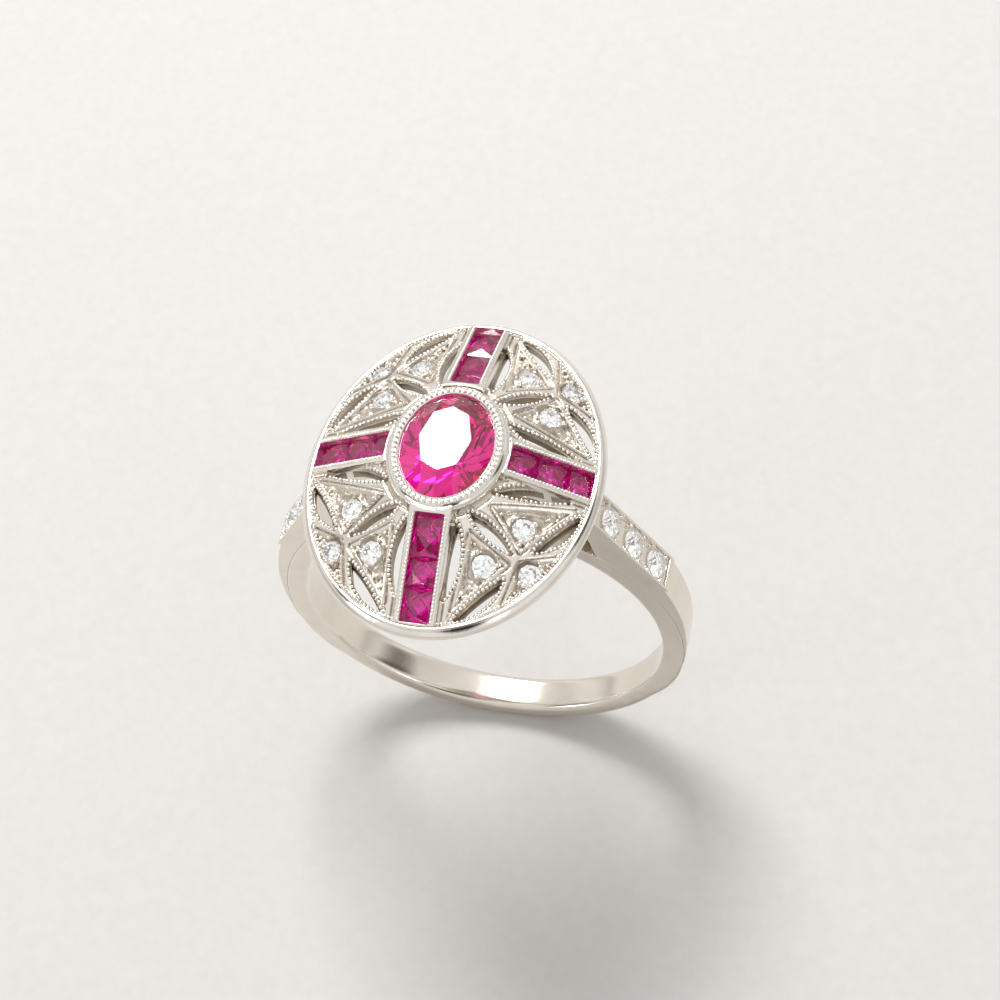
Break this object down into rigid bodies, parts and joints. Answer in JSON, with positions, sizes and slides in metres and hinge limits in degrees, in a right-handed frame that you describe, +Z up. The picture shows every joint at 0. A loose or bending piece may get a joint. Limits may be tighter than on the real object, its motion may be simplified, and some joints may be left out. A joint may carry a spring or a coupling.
{
  "type": "cocktail ring",
  "caption": "Cocktail ring with a domed oval filigree head: bezel-set oval red centre stone, channel-set square red stones in a cross, pierced quarter panels with round diamonds.",
  "frame": {"origin": "centre of the finger hole, at the middle of the band's width", "axes": "+Z up through the head and its centre stone, +Y along the finger hole and the long way of the head, +X across the finger along the row of shoulders"},
  "size_m": [0.0206, 0.0172, 0.0254],
  "materials": {
    "head_metal": "bright cast white metal, worn and softly polished, darkened in the recesses",
    "band_metal": "polished white metal",
    "ruby": "faceted and polished, strong pinkish red",
    "diamond": "faceted and polished, colourless"
  },
  "bodies": {
    "root": {"arm_diamond_ne": "diamond", "arm_diamond_nw": "diamond", "arm_diamond_se": "diamond", "arm_diamond_sw": "diamond", "centre_bezel": "head_metal", "centre_ruby": "ruby", "channel_east": "head_metal", "channel_north": "head_metal", "channel_south": "head_metal", "channel_west": "head_metal", "finger_band": "band_metal", "panel_ne": "head_metal", "panel_nw": "head_metal", "panel_se": "head_metal", "panel_sw": "head_metal", "rim_band": "head_metal", "rim_diamond_ne": "diamond", "rim_diamond_nw": "diamond", "rim_diamond_se": "diamond", "rim_diamond_sw": "diamond", "ruby_east_one": "ruby", "ruby_east_three": "ruby", "ruby_east_two": "ruby", "ruby_north_one": "ruby", "ruby_north_three": "ruby", "ruby_north_two": "ruby", "ruby_south_one": "ruby", "ruby_south_three": "ruby", "ruby_south_two": "ruby", "ruby_west_one": "ruby", "ruby_west_three": "ruby", "ruby_west_two": "ruby", "shoulder_diamond_east_one": "diamond", "shoulder_diamond_east_three": "diamond", "shoulder_diamond_east_two": "diamond", "shoulder_diamond_west_one": "diamond", "shoulder_diamond_west_three": "diamond", "shoulder_diamond_west_two": "diamond", "shoulder_east": "head_metal", "shoulder_west": "head_metal", "side_diamond_ne": "diamond", "side_diamond_nw": "diamond", "side_diamond_se": "diamond", "side_diamond_sw": "diamond"}
  },
  "joints": []
}
